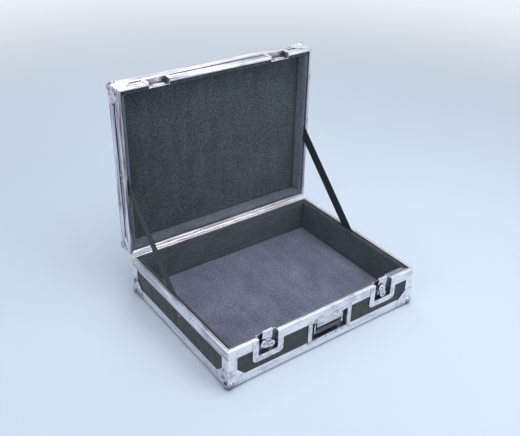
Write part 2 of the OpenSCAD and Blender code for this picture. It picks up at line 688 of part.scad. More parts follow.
// Torsion springs round the pivot rod: a coil with a tail to the back of the recess
spring_steps = 8;
function coil_point(a) = [spring_pitch * a / 360, spring_mean_r * sin(a), spring_mean_r * cos(a)];
spring_path = concat([for (i = [0:spring_turns * spring_steps]) coil_point(i * 360 / spring_steps)],
  [[spring_turns * spring_pitch, 3, spring_mean_r], [spring_turns * spring_pitch, 5, spring_mean_r]]);
function unit(v) = v / norm(v);
function path_dir(p, i) = unit(p[min(i + 1, len(p) - 1)] - p[max(i - 1, 0)]);
function ring(c, d) = let (a = unit(cross(d, [1, 0.2, 0.1])), b = cross(d, a))
  [for (k = [0:5]) c + spring_wire_r * (cos(60 * k) * a + sin(60 * k) * b)];
module wire(p) {
  n = len(p);
  pts = [for (i = [0:n - 1]) each ring(p[i], path_dir(p, i))];
  sides = [for (i = [0:n - 2], k = [0:5]) each let (a = 6 * i + k, b = 6 * i + (k + 1) % 6)
    [[a, a + 6, b], [b, a + 6, b + 6]]];
  polyhedron(pts, concat([[0, 1, 2, 3, 4, 5]], sides,
    [[for (k = [5:-1:0]) 6 * (n - 1) + k]]), convexity = 10);
}
module handle_springs() color(steel) base_tray() at_handle()
  for (s = [0, 1]) mirror([s, 0, 0]) translate([cover_w / 4, bail_u, bail_pivot_h]) wire(spring_path);
echo(least_gap_between_spring_turns = spring_pitch - 2 * spring_wire_r);

// Piano hinge. The base carries the even knuckles and the lid the odd ones.
module knuckle_row(odd, leaf_up) at_wall("back") difference() {
  side = leaf_up ? 1 : -1;
  clear = knuckle_r + 0.5;
  n = floor(hinge_len / knuckle_pitch);
  union() {
    translate([-hinge_len / 2, -corner_t, leaf_up ? hinge_z + clear : hinge_z - leaf_h])
      cube([hinge_len, corner_t, leaf_h - clear]);
    for (i = [odd:2:n - 1]) translate([-hinge_len / 2 + i * knuckle_pitch + seat_gap / 2, 0, 0]) {
      translate([0, -corner_t, leaf_up ? hinge_z : hinge_z - clear - past])
        cube([knuckle_pitch - seat_gap, corner_t, clear + past]);
      translate([0, -hinge_out, hinge_z]) rotate([0, 90, 0])
        cylinder(h = knuckle_pitch - seat_gap, r = knuckle_r);
    }
  }
  translate([-hinge_len, -hinge_out, hinge_z]) rotate([0, 90, 0])
    cylinder(h = 2 * hinge_len, r = hinge_pin_r + running);
}
module hinge_base_leaf() color(steel) knuckle_row(0, false);
module hinge_lid_leaf() color(steel) open_lid() knuckle_row(1, true);
module hinge_pin() color(steel) translate([-hinge_len / 2, hinge_y, hinge_z]) rotate([0, 90, 0])
  cylinder(h = hinge_len, r = hinge_pin_r);

// Webbing stay straps, straight and taut at 45 degrees with the lid open
module strap() color(webbing) difference() {
  low = base_strap_tail * sqrt(2);
  high = (strap_reach + lid_strap_tail) * sqrt(2);
  translate([strap_u - case_w / 2, hinge_y - strap_reach, hinge_z]) rotate([45, 0, 0])
    translate([0, -low, -strap_w / 2]) cube([strap_t, low + high, strap_w]);
  strap_drillings(strap_rivet_r + running);
}
module strap_left() strap();
module strap_right() mirror([1, 0, 0]) strap();
module strap_rivet(seat) translate([-case_w / 2, 0, 0]) rotate([0, 90, 0]) {
  inner = strap_u + strap_t;
  translate([0, 0, seat]) rotate([180, 0, 0]) rivet(strap_head_r);
  translate([0, 0, seat]) cylinder(h = inner + washer_t - seat, r = strap_rivet_r);
  translate([0, 0, inner]) cylinder(h = washer_t, r = washer_r);
  translate([0, 0, inner + washer_t]) rivet(strap_head_r);
}
module base_strap_rivets() color(steel) both_sides() for (d = base_strap_rivets)
  translate([0, hinge_y - strap_reach - d, hinge_z - d])
    strap_rivet(d + strap_head_r < base_rim_leg ? 0 : ext_t);
module lid_strap_rivets() color(steel) both_sides() for (d = lid_strap_rivets)
  translate([0, hinge_y + d, hinge_z + strap_reach + d])
    strap_rivet(d + strap_head_r < lid_rim_leg ? 0 : ext_t);

// Lid panels and edges
module lid_top_panel() color(laminate) lid_tray() floor_panel();
module keeper_cut() both_sides() translate([latch_x, front_y, lid_h])
  translate([-latch_cut / 2, -past, -keeper_rise - dish_t - seat_gap])
    cube([latch_cut, rim_w + 2 * past, keeper_rise + tongue_h + 3 * dish_t]);
module lid_front_panel() color(laminate) lid_tray() difference() {
  wall_panel("front", lid_h);
  keeper_cut();
}
module lid_back_panel() color(laminate) lid_tray() wall_panel("back", lid_h);
module lid_left_panel() color(laminate) difference() {
  lid_tray() wall_panel("left", lid_h);
  strap_drillings(strap_rivet_r + running, base_too = false);
}
module lid_right_panel() color(laminate) difference() {
  lid_tray() wall_panel("right", lid_h);
  strap_drillings(strap_rivet_r + running, base_too = false);
}
module lid_front_edge() color(aluminium) lid_tray() floor_edge("front");
module lid_back_edge() color(aluminium) lid_tray() floor_edge("back");
module lid_left_edge() color(aluminium) lid_tray() floor_edge("left");
module lid_right_edge() color(aluminium) lid_tray() floor_edge("right");
module lid_corner_angles() color(aluminium) lid_tray() at_corners() corner_angle(lid_h, lid_rim_leg);
module lid_front_rim() color(aluminium) difference() {
  lid_rim("front");
  lid_tray() keeper_cut();
}
module lid_back_rim() color(aluminium) lid_rim("back");
module lid_side_rims() color(aluminium) difference() {
  union() {
    lid_rim("left");
    lid_rim("right");
  }
  strap_drillings(strap_rivet_r + running, base_too = false);
}
module lid_ball_corners() color(steel) lid_tray() at_corners() ball_corner();
module lid_rivets() color(steel) lid_tray() {
  for (side = ["front", "right", "back", "left"]) edge_rivets(side);
  for (side = ["front", "right", "left"])
    rim_rivets(side, lid_h, lid_rim_leg, ball_leg + corner_rivet_in);
  leaf_rivets(lid_h - leaf_h / 2 - knuckle_r);
  at_corners() ball_rivets();
  both_sides() translate([latch_x, front_y, lid_h]) for (s = [-1, 1])
    rivet_at(s * (latch_w + keeper_flange) / 2, -keeper_rise / 2, flange_out);
}

// Keeper dishes: a shallow recess in the lid's front wall with a ledge that the claw pulls down on
module lid_keepers() color(steel) lid_tray() both_sides() translate([latch_x, front_y, lid_h]) {
  recess_dish(keeper_rise, keeper_flange, [lid_rim_leg, lid_rim_leg + lid_strip]);
  ledge_in = claw_u + claw_t + 0.5;
  translate([-keeper_w / 2, latch_deep - keeper_plate_t, -keeper_rise + latch_deep / 2])
    cube([keeper_w, keeper_plate_t, keeper_rise - latch_deep / 2 - ledge_rise]);
  translate([-keeper_w / 2, ledge_in, -ledge_rise - ledge_t + rim_gap])
    cube([keeper_w, latch_deep - ledge_in, ledge_t]);
}

// Lining of the lid
module lid_top_pad() color(plush) lid_tray()
  translate([pad_in + seat_gap - case_w / 2, front_y + pad_in + seat_gap, wall_in + seat_gap])
    cube([case_w - 2 * (pad_in + seat_gap), case_d - 2 * (pad_in + seat_gap), floor_pad_t]);
module lid_wall_pads() color(plush) difference() {
  step = rim_cap + rim_inner_leg + seat_gap;
  lid_tray() {
    difference() {
      wall_pad("front", lid_h, front_pad_u, wall_in + seat_gap, step);
      both_sides() translate([latch_x, front_y, lid_h]) latch_pocket(keeper_rise);
    }
    wall_pad("back", lid_h, front_pad_u, wall_in + seat_gap, step);
    for (side = ["left", "right"]) wall_pad(side, lid_h, pad_u, pad_u, step);
  }
  strap_drillings(washer_r + seat_gap, base_too = false, deep = washer_u);
}

base_bottom_panel();
base_front_panel();
base_back_panel();
base_left_panel();
base_right_panel();
base_front_edge();
base_back_edge();
base_left_edge();
base_right_edge();
base_corner_angles();
base_front_rim();
base_back_rim();
base_left_rim();
base_right_rim();
base_ball_corners();
base_rivets();
base_floor_pad();
base_front_pad();
base_back_pad();
base_side_pads();
latch_left_dish();
latch_left_spindle();
latch_left_wing();
latch_left_slider();
latch_left_claw();
latch_right_dish();
latch_right_spindle();
latch_right_wing();
latch_right_slider();
latch_right_claw();
handle_dish();
handle_cover();
handle_springs();
handle_bail();
handle_grip();
hinge_base_leaf();
hinge_pin();
hinge_lid_leaf();
strap_left();
strap_right();
base_strap_rivets();
lid_strap_rivets();
lid_top_panel();
lid_front_panel();
lid_back_panel();
lid_left_panel();
lid_right_panel();
lid_front_edge();
lid_back_edge();
lid_left_edge();
lid_right_edge();
lid_corner_angles();
lid_front_rim();
lid_back_rim();
lid_side_rims();
lid_ball_corners();
lid_rivets();
lid_keepers();
lid_top_pad();
lid_wall_pads();
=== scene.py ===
import json
import math

import bmesh
import bpy
import numpy as np
from mathutils import Matrix, Vector, noise


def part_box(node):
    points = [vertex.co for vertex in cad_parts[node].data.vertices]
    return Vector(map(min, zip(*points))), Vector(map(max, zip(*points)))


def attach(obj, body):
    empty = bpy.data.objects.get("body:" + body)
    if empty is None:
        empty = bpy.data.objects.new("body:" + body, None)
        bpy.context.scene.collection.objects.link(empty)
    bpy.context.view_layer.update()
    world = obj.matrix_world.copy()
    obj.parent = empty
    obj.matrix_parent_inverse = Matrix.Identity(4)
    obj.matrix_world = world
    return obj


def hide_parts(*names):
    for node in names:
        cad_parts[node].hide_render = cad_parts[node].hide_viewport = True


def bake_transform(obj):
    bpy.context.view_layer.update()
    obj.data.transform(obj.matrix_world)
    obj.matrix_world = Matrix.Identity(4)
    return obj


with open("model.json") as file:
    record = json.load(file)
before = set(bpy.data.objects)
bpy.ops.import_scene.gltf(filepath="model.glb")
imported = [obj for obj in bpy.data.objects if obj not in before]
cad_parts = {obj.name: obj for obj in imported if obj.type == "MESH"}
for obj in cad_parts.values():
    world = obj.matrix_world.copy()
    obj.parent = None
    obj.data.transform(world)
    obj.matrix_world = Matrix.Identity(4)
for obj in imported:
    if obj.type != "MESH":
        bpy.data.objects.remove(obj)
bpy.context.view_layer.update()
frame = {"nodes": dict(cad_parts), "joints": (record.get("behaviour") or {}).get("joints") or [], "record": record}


# Studio: a pale floor that fades into a white surround, a broad soft lamp overhead and weaker ones in
# front, on the left and behind. The camera stands at the front left and looks down into the open case.
def put_node(tree, kind, **sockets):
    """Adds a node to a tree and sets its inputs, whose names are given with _ for each space."""
    made = tree.nodes.new(kind)
    for socket, value in sockets.items():
        made.inputs[socket.replace("_", " ")].default_value = value
    return made


def worked_out(tree, operation, *terms):
    """A sum in a tree. Each term is a number or another node's output."""
    made = put_node(tree, "ShaderNodeMath")
    made.operation = operation
    for socket, term in zip(made.inputs, terms):
        if isinstance(term, bpy.types.NodeSocket):
            tree.links.new(term, socket)
        else:
            socket.default_value = term
    return made.outputs[0]


def in_the_picture(tree):
    """1 for rays that the camera sees straight, in a reflection or through something clear, else 0."""
    rays = put_node(tree, "ShaderNodeLightPath").outputs
    indirect = worked_out(tree, "MAXIMUM", rays["Is Glossy Ray"], rays["Is Transmission Ray"])
    return worked_out(tree, "MAXIMUM", rays["Is Camera Ray"], indirect)


def into_scene(name, mesh):
    made = bpy.data.objects.new(name, mesh)
    bpy.context.scene.collection.objects.link(made)
    return made


floor_reach = 9
haze_starts = 1.2
haze_ends = 4.4
pale = (0.88, 0.94, 1.0, 1)
paleness = 0.95
floor_corners = [(floor_reach * x, floor_reach * y, 0) for x, y in ((-1, -1), (1, -1), (1, 1), (-1, 1))]
floor_mesh = bpy.data.meshes.new("studio_floor")
floor_mesh.from_pydata(floor_corners, [], [(0, 1, 2, 3)])
floor_paint = bpy.data.materials.new("studio floor")
floor_paint.use_nodes = True
studio = floor_paint.node_tree
paint = studio.nodes["Principled BSDF"]
paint.inputs["Base Color"].default_value = (0.66, 0.75, 0.86, 1)
paint.inputs["Roughness"].default_value = 0.9
paint.inputs["Specular IOR Level"].default_value = 0.1
distance = put_node(studio, "ShaderNodeVectorMath")
distance.operation = "LENGTH"
studio.links.new(put_node(studio, "ShaderNodeTexCoord").outputs["Object"], distance.inputs[0])
far_off = put_node(studio, "ShaderNodeMapRange", From_Min=haze_starts, From_Max=haze_ends)
far_off.interpolation_type = "SMOOTHSTEP"
studio.links.new(distance.outputs["Value"], far_off.inputs["Value"])
haze = put_node(studio, "ShaderNodeMixShader")
hazed = worked_out(studio, "MULTIPLY", far_off.outputs["Result"], in_the_picture(studio))
studio.links.new(hazed, haze.inputs[0])
studio.links.new(paint.outputs["BSDF"], haze.inputs[1])
glow = put_node(studio, "ShaderNodeEmission", Color=pale, Strength=paleness)
studio.links.new(glow.outputs[0], haze.inputs[2])
studio.links.new(haze.outputs[0], studio.nodes["Material Output"].inputs["Surface"])
floor_mesh.materials.append(floor_paint)
into_scene("studio_floor", floor_mesh)

surround = bpy.data.worlds.new("studio surround")
surround.use_nodes = True
bpy.context.scene.world = surround
sky = surround.node_tree
sky.nodes.clear()
either = put_node(sky, "ShaderNodeMixShader")
dim = put_node(sky, "ShaderNodeBackground", Color=(0.84, 0.91, 1.0, 1), Strength=0.42)
white = put_node(sky, "ShaderNodeBackground", Color=pale, Strength=paleness)
sky.links.new(in_the_picture(sky), either.inputs[0])
sky.links.new(dim.outputs[0], either.inputs[1])
sky.links.new(white.outputs[0], either.inputs[2])
sky.links.new(either.outputs[0], put_node(sky, "ShaderNodeOutputWorld").inputs[0])

for lamp_name, place, aim, size, watts in (
    ("lamp_over", (0.35, -0.35, 2.7), (0, -0.1, 0.1), 2.3, 46),
    ("lamp_front", (1.1, -2.4, 1.7), (0, -0.1, 0.2), 1.5, 16),
    ("lamp_left", (-2.6, -0.6, 1.5), (0, 0, 0.2), 1.4, 10),
    ("lamp_back", (0.5, 2.1, 2.5), (0, 0.1, 0.3), 1.4, 14),
):
    lamp_data = bpy.data.lights.new(lamp_name, "AREA")
    lamp_data.energy = watts
    lamp_data.size = size
    lamp = into_scene(lamp_name, lamp_data)
    lamp.location = place
    lamp.rotation_euler = (Vector(aim) - Vector(place)).to_track_quat("-Z", "Y").to_euler()

focal_pixels = 718.3
picture_width = 520
view_way = (0.509567, 0.690151, -0.513841)
view_roll = math.radians(1.37)
camera_data = bpy.data.cameras.new("camera")
camera_data.sensor_width = 36
camera_data.lens = camera_data.sensor_width * focal_pixels / picture_width
camera = into_scene("camera", camera_data)
camera.location = (-1.14351, -1.51091, 1.41532)
looking = Vector(view_way).to_track_quat("-Z", "Y").to_matrix().to_4x4()
camera.rotation_euler = (looking @ Matrix.Rotation(view_roll, 4, "Z")).to_euler()
bpy.context.scene.camera = camera
bpy.context.scene.view_settings.view_transform = "Standard"


# Plywood panels: ten 7 mm boards faced with black laminate that has a fine leathery grain. They are
# sawn to size, and the aluminium extrusions cover their edges, so that only their scuffed faces show.
def finish(name, colour, metallic, roughness):
    """A new material, its tree and its shader, and a place on the piece for the patterns to start from."""
    made = bpy.data.materials.new(name)
    made.use_nodes = True
    tree = made.node_tree
    shader = tree.nodes["Principled BSDF"]
    shader.inputs["Base Color"].default_value = (*colour, 1)
    shader.inputs["Metallic"].default_value = metallic
    shader.inputs["Roughness"].default_value = roughness
    return made, tree, shader, tree.nodes.new("ShaderNodeTexCoord").outputs["Object"]


def cloud(tree, place, to_the_metre, detail=2, distortion=0, turn=(0, 0, 0)):
    """Soft noise from 0 to 1, with the given number of blots to the metre along each axis."""
    stretched = put_node(tree, "ShaderNodeMapping", Rotation=turn, Scale=to_the_metre)
    made = put_node(tree, "ShaderNodeTexNoise", Scale=1, Detail=detail, Distortion=distortion)
    tree.links.new(place, stretched.inputs["Vector"])
    tree.links.new(stretched.outputs["Vector"], made.inputs["Vector"])
    return made.outputs["Fac"]


def shades(tree, source, *stops):
    """A colour ramp from (place, colour or grey level) stops."""
    ramp = tree.nodes.new("ShaderNodeValToRGB")
    elements = ramp.color_ramp.elements
    ends = [elements[0], elements[1]]
    ends[0].position, ends[1].position = stops[0][0], stops[-1][0]
    made = [ends[0]] + [elements.new(at) for at, _ in stops[1:-1]] + [elements[len(stops) - 1]]
    for element, (_, level) in zip(made, stops):
        element.color = (*level, 1) if isinstance(level, tuple) else (level, level, level, 1)
    tree.links.new(source, ramp.inputs["Fac"])
    return ramp.outputs["Color"]


def overlaid(tree, how, amount, under, over):
    """Mixes one colour over another. Each of the last three is a value or another node's output."""
    mix = tree.nodes.new("ShaderNodeMix")
    mix.data_type = "RGBA"
    mix.blend_type = how
    for socket, given in ((mix.inputs[0], amount), (mix.inputs[6], under), (mix.inputs[7], over)):
        if isinstance(given, bpy.types.NodeSocket):
            tree.links.new(given, socket)
        else:
            socket.default_value = given
    return mix.outputs[2]


def emboss(tree, shader, source, height, under=None):
    """Raises a pattern on the surface, by the height in metres, over an earlier one if there is one."""
    bump = put_node(tree, "ShaderNodeBump", Strength=1, Distance=height)
    tree.links.new(source, bump.inputs["Height"])
    if under:
        tree.links.new(under, bump.inputs["Normal"])
    tree.links.new(bump.outputs["Normal"], shader.inputs["Normal"])
    return bump.outputs["Normal"]


def dress(piece, material):
    piece.data.materials.clear()
    piece.data.materials.append(material)


laminate, tree, shader, place = finish("black laminate", (0.02, 0.019, 0.018), 0, 0.45)
grain_to_the_metre = 1150
grain_height = 0.00016
patches = cloud(tree, place, (55, 55, 55), 4, 0.4)
mottle = shades(tree, patches, (0.34, (0.011, 0.0125, 0.0115)), (0.66, (0.035, 0.036, 0.033)))
scratches = cloud(tree, place, (30, 260, 260), 3, 0.4, (0.3, 0.5, 0.2))
scuff = shades(tree, scratches, (0.68, 0.0), (0.8, 0.55))
scuffed = overlaid(tree, "MIX", scuff, mottle, (0.075, 0.073, 0.07, 1))
tree.links.new(scuffed, shader.inputs["Base Color"])
rub = shades(tree, cloud(tree, place, (14, 14, 14), 4, 1), (0.3, 0.36), (0.75, 0.56))
tree.links.new(rub, shader.inputs["Roughness"])
pebble = put_node(tree, "ShaderNodeTexVoronoi", Scale=grain_to_the_metre)
tree.links.new(place, pebble.inputs["Vector"])
emboss(tree, shader, pebble.outputs["Distance"], grain_height)
cad = frame["nodes"]
for node in cad:
    if node.endswith("_panel"):
        dress(cad[node], laminate)


# Edge extrusions: satin anodised aluminium angles riveted over the panels' edges and corners, and
# channels along both rims, with a groove in the base's and a tongue on the lid's. Die lines run
# lengthwise. The lid's lengths and the left rim are darkened the most, partly by worn oxide streaks
# and partly as painted shade, and shade is painted into the grooves.
holed = ("handle_dish",)    # has a face round an opening, which a single polygon can't hold
# The colour of the shade painted into nooks and grooves.
nook_shade_colour = (0.022, 0.018, 0.03, 1)
slot_of = {sub["node"]: sub["material_slot"] for sub in frame["record"]["subparts"]}
bodies = frame["record"]["behaviour"]["bodies"]
body_of = {node: body for body, members in bodies.items() for node in members}


def painted_nook_shade(tree, clean, reach, least=0.35, most=0.8, shade_colour=nook_shade_colour):
    """Paints shade on a metal in corners, grooves and the bottoms of recesses, found by occlusion."""
    nook = put_node(tree, "ShaderNodeAmbientOcclusion", Distance=reach)
    nook.samples = 8
    return overlaid(tree, "MIX", shades(tree, nook.outputs["AO"], (least, 1.0), (most, 0.0)), clean, shade_colour)


def drawn_aluminium(name, along, wear_and_painted_shade, groove_shade_reach):
    """Streaks dull the metal lengthwise, and oxide streaks darken it by wear_and_painted_shade, partly
    wear and partly painted shade. Shade is painted out of its grooves as far as groove_shade_reach.
    """
    made, tree, shader, place = finish(name, (0.88, 0.88, 0.89), 1, 0.36)

    def lengthwise(few, many, detail, distortion=0):
        to_the_metre = [few if axis == along else many for axis in range(3)]
        return cloud(tree, place, to_the_metre, detail, distortion)

    die_lines = lengthwise(5, 620, 3)
    streaks = lengthwise(9, 190, 4, 0.3)
    smears = lengthwise(17, 34, 4, 0.6)
    oxide = lengthwise(6, 85, 3, 0.2)
    bright = shades(tree, smears, (0.3, (0.60, 0.58, 0.63)), (0.42, (0.84, 0.83, 0.85)),
                    (0.7, (0.93, 0.935, 0.94)))
    dulled = shades(tree, streaks, (0.3, (0.6, 0.58, 0.63)), (0.42, (1.0, 1.0, 1.0)))
    worn_off = shades(tree, oxide, (0.38, (0.24, 0.21, 0.25)), (0.47, (0.60, 0.57, 0.64)),
                      (0.6, (0.96, 0.96, 1.0)))
    tone = overlaid(tree, "MULTIPLY", 0.7, bright, dulled)
    tone = overlaid(tree, "MULTIPLY", wear_and_painted_shade, tone, worn_off)
    tree.links.new(painted_nook_shade(tree, tone, groove_shade_reach, 0.3, 0.75), shader.inputs["Base Color"])
    tree.links.new(shades(tree, die_lines, (0.3, 0.28), (0.7, 0.46)), shader.inputs["Roughness"])
    emboss(tree, shader, die_lines, 0.00003, emboss(tree, shader, smears, 0.0004))
    return made


def settled(piece, material, nodes, body):
    """Applies the piece's modifiers, gives it its finish, and lets it stand for its CAD nodes."""
    bpy.context.view_layer.update()
    whole = bpy.data.meshes.new_from_object(piece.evaluated_get(bpy.context.evaluated_depsgraph_get()))
    piece.modifiers.clear()
    piece.data = whole
    whole.name = piece.name
    if material:
        dress(piece, material)
    if body:
        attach(piece, body)
    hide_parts(*nodes)
    return piece


def welded(node):
    """A CAD node's mesh with its loose triangles joined, ready to be worked on."""
    shell = bmesh.new()
    shell.from_mesh(cad[node].data)
    bmesh.ops.remove_doubles(shell, verts=shell.verts, dist=1e-6)
    return shell


def merged_copy(node, name):
    """A copy of a CAD node whose flat faces are whole, unless they have a hole."""
    shell = welded(node)
    if node not in holed:
        bmesh.ops.dissolve_limit(shell, angle_limit=math.radians(0.5), verts=shell.verts, edges=shell.edges)
    mesh = bpy.data.meshes.new(name)
    shell.to_mesh(mesh)
    shell.free()
    mesh.shade_smooth()
    return into_scene(name, mesh)


def eased(node, material, suffix, width, sharp=32):
    """A CAD node with its edges rounded to the width, where they are sharper than so many degrees."""
    piece = merged_copy(node, f"{node}_{suffix}")
    bevel = piece.modifiers.new("eased edges", "BEVEL")
    bevel.width = width
    bevel.segments = 2
    bevel.limit_method = "ANGLE"
    bevel.angle_limit = math.radians(sharp)
    piece.modifiers.new("flat faces", "WEIGHTED_NORMAL").keep_sharp = True
    return settled(piece, material, [node], body_of[node])


# Columns: stock, axis of the die lines, wear and painted shade, and reach of the shade painted into grooves. The
# lid's lengths and the base's left rim are painted darker as shade, and the lid's right rim is kept light as
# painted light.
drawn = {
    (stock, along): drawn_aluminium(f"aluminium along {along}, {stock}", "XYZ".index(along), wear_and_painted_shade, groove_shade_reach)
    for stock, along, wear_and_painted_shade, groove_shade_reach in (
        ("base", "X", 0.1, 0.0015), ("base", "Y", 0.1, 0.0015), ("base", "Z", 0.15, 0.004),
        ("lid", "X", 0.7, 0.0015), ("lid", "Y", 0.5, 0.006), ("lid", "Z", 1.0, 0.009),
        ("left rim", "Y", 0.6, 0.003), ("right rim", "Z", 0.1, 0.001),
    )
}
for node in cad:
    if slot_of[node] == "aluminium":
        stock = node.split("_")[0]
        if "front" in node or "back" in node:
            along = "X"
        elif "corner" in node:
            along = "Y" if stock == "lid" else "Z"
        else:
            along = "Z" if stock == "lid" else "Y"
        # The base's left rim takes a darker finish, as painted shade.
        if node == "base_left_rim":
            stock = "left rim"
        cut_length = eased(node, drawn[stock, along], "extrusion", width=0.0003)
        # The lid's right rim takes a lighter finish, as painted light.
        if node == "lid_side_rims":
            cut_length.data.materials.append(drawn["right rim", along])
            for face in cut_length.data.polygons:
                face.material_index = int(face.center.x > 0)


# Piano hinge: two bright steel leaves rolled round one pin and riveted to the back walls of base and
# lid. Their knuckles alternate, and a thin dark seam runs between the two leaves, darkened further
# with painted shade.
hinge_steel, tree, shader, place = finish("hinge steel", (0.62, 0.63, 0.65), 1, 0.3)
worn = cloud(tree, place, (24, 300, 300), 4, 0.4)
leaf_tone = shades(tree, worn, (0.3, (0.62, 0.62, 0.65)), (0.5, (0.88, 0.88, 0.90)))
# Shade is painted into the seams between the leaves and knuckles, within 2 mm.
tree.links.new(painted_nook_shade(tree, leaf_tone, 0.002, shade_colour=(0.3, 0.31, 0.34, 1)), shader.inputs["Base Color"])
tree.links.new(shades(tree, worn, (0.3, 0.42), (0.7, 0.22)), shader.inputs["Roughness"])
emboss(tree, shader, worn, 0.00006)
for node in ("hinge_base_leaf", "hinge_lid_leaf", "hinge_pin"):
    eased(node, hinge_steel, "rolled", width=0.0002)


# Ball corners: pressed steel with three riveted plates and a hollow ball, bright zinc plated. They
# take the knocks, so that the plating is dulled and dented there. Shade is painted into their creases,
# the balls are painted dark in patches as painted reflection, with painted shade round their feet, and
# the plates that face sideways are painted darker as painted shade.
def plated_steel(name, bright, dull, roughness, to_the_metre, dent, shade_reach, shade_colour=nook_shade_colour):
    """Bright plating with dull patches, so many to the metre, and dents as deep as dent. Shade is
    painted into its nooks as far as shade_reach, in shade_colour.
    """
    made, tree, shader, place = finish(name, bright, 1, roughness)
    bloom = cloud(tree, place, (to_the_metre,) * 3, 3, 0.2)
    pits = cloud(tree, place, (700,) * 3, 2)
    brightest = tuple(min(1, 1.08 * level) for level in bright)
    tone = shades(tree, bloom, (0.32, dull), (0.5, bright), (0.72, brightest))
    spots = shades(tree, pits, (0.28, 0.45), (0.4, 1.0))
    tone = overlaid(tree, "MULTIPLY", 0.35, tone, spots)
    tree.links.new(painted_nook_shade(tree, tone, shade_reach, shade_colour=shade_colour), shader.inputs["Base Color"])
    dulling = shades(tree, bloom, (0.3, roughness + 0.2), (0.65, roughness))
    tree.links.new(dulling, shader.inputs["Roughness"])
    emboss(tree, shader, pits, 0.00003, emboss(tree, shader, bloom, dent))
    return made


ball_radius = 0.0155
ball_flat = 0.0006
pressed_skin = 0.0004
faces_sideways = 0.7


def ball_centres(node):
    """The centres of a node's four balls, from the node's box, which the balls reach on five sides."""
    low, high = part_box(node)
    inwards = Vector((ball_radius,) * 3)
    near, far = low + inwards, high - inwards
    if node.startswith("base"):
        return [Vector((x, y, near.z - ball_flat)) for x in (near.x, far.x) for y in (near.y, far.y)]
    return [Vector((x, far.y, z)) for x in (near.x, far.x) for z in (near.z, far.z)]


corner_steel = plated_steel("knocked zinc plate", bright=(0.82, 0.82, 0.84), dull=(0.50, 0.48, 0.54),
                            roughness=0.22, to_the_metre=48, dent=0.0012, shade_reach=0.012)
# The ball is painted darker than the plates, with near-black patches, as painted reflection, and shade is painted
# round its foot.
ball_steel = plated_steel("zinc ball with painted reflections", bright=(0.46, 0.45, 0.5), dull=(0.045, 0.045, 0.07),
                          roughness=0.1, to_the_metre=62, dent=0.0012, shade_reach=0.035)
shaded_side_steel = plated_steel("zinc plate with painted side shade", bright=(0.76, 0.75, 0.80), dull=(0.15, 0.13, 0.19),
                          roughness=0.2, to_the_metre=45, dent=0.0012, shade_reach=0.012)
for node in ("base_ball_corners", "lid_ball_corners"):
    corners = eased(node, corner_steel, "pressed", width=0.0004, sharp=40)
    corners.data.materials.append(ball_steel)
    corners.data.materials.append(shaded_side_steel)
    centres = ball_centres(node)
    for face in corners.data.polygons:
        if min((face.center - centre).length for centre in centres) < ball_radius + pressed_skin:
            face.material_index = 1
        # Plates that face sideways take the darker finish, as painted shade.
        elif abs(face.normal.x) > faces_sideways:
            face.material_index = 2


# Latch and keeper dishes: deep-drawn zinc-plated steel. Each has a flange riveted to the front wall,
# and the keeper in the lid has a ledge for the claw.
# Shade is painted into the recesses, within 30 mm, in a dark lilac.
dish_steel = plated_steel("drawn zinc plate", bright=(0.80, 0.79, 0.82), dull=(0.50, 0.47, 0.52),
                          roughness=0.22, to_the_metre=75, dent=0.0004, shade_reach=0.03,
                          shade_colour=(0.17, 0.16, 0.24, 1))
for node in ("latch_left_dish", "latch_right_dish", "lid_keepers"):
    eased(node, dish_steel, "drawn", width=0.0005)


# Butterfly latch: a folding wing turns a spindle whose cam draws the slider and its claw down on the
# keeper. All are stamped or turned steel, plated and polished.
# Shade is painted into the latch's creases, within 8 mm.
latch_steel = plated_steel("polished latch plate", bright=(0.76, 0.75, 0.78), dull=(0.42, 0.40, 0.44),
                           roughness=0.16, to_the_metre=110, dent=0.0003, shade_reach=0.008)
for side in ("left", "right"):
    for moving in ("wing", "spindle", "slider", "claw"):
        eased(f"latch_{side}_{moving}", latch_steel, "stamped", width=0.0003)


# Sprung handle: a dish and a cover for its springs, pressed from zinc-plated steel and riveted to the
# front wall, and a bail of steel rod and flat arms that swings out under the hand.
# Shade is painted into the handle's recess, within 20 mm.
handle_steel = plated_steel("pressed zinc plate", bright=(0.74, 0.73, 0.75), dull=(0.34, 0.31, 0.35),
                            roughness=0.26, to_the_metre=75, dent=0.0004, shade_reach=0.02,
                            shade_colour=(0.16, 0.17, 0.2, 1))
for node in ("handle_dish", "handle_cover", "handle_bail"):
    eased(node, handle_steel, "pressed", width=0.0004)


# Grip: black rubber moulded on the bail's bar, so that it swings with the bail. Shallow ribs run
# round it between two plain collars, and its ends are rounded.
def outward(name, points, faces):
    """A mesh whose faces all point outwards."""
    mesh = bpy.data.meshes.new(name)
    mesh.from_pydata(points, [], faces)
    shell = bmesh.new()
    shell.from_mesh(mesh)
    bmesh.ops.recalc_face_normals(shell, faces=shell.faces)
    shell.to_mesh(mesh)
    shell.free()
    return mesh


def lathe(name, profile, middle, sides):
    """A closed shape turned round an axis along X: the profile is (place along it, radius), bore last."""
    points = []
    for at, radius in profile:
        for k in range(sides):
            turn = 2 * math.pi * k / sides
            y, z = radius * math.sin(turn), radius * math.cos(turn)
            points.append((middle[0] + at, middle[1] + y, middle[2] + z))
    rings = len(profile)
    faces = [(i * sides + k, i * sides + (k + 1) % sides, (i + 1) % rings * sides + (k + 1) % sides,
              (i + 1) % rings * sides + k) for i in range(rings) for k in range(sides)]
    mesh = outward(name, points, faces)
    mesh.shade_smooth()
    mesh.set_sharp_from_angle(angle=math.radians(50))
    return into_scene(name, mesh)


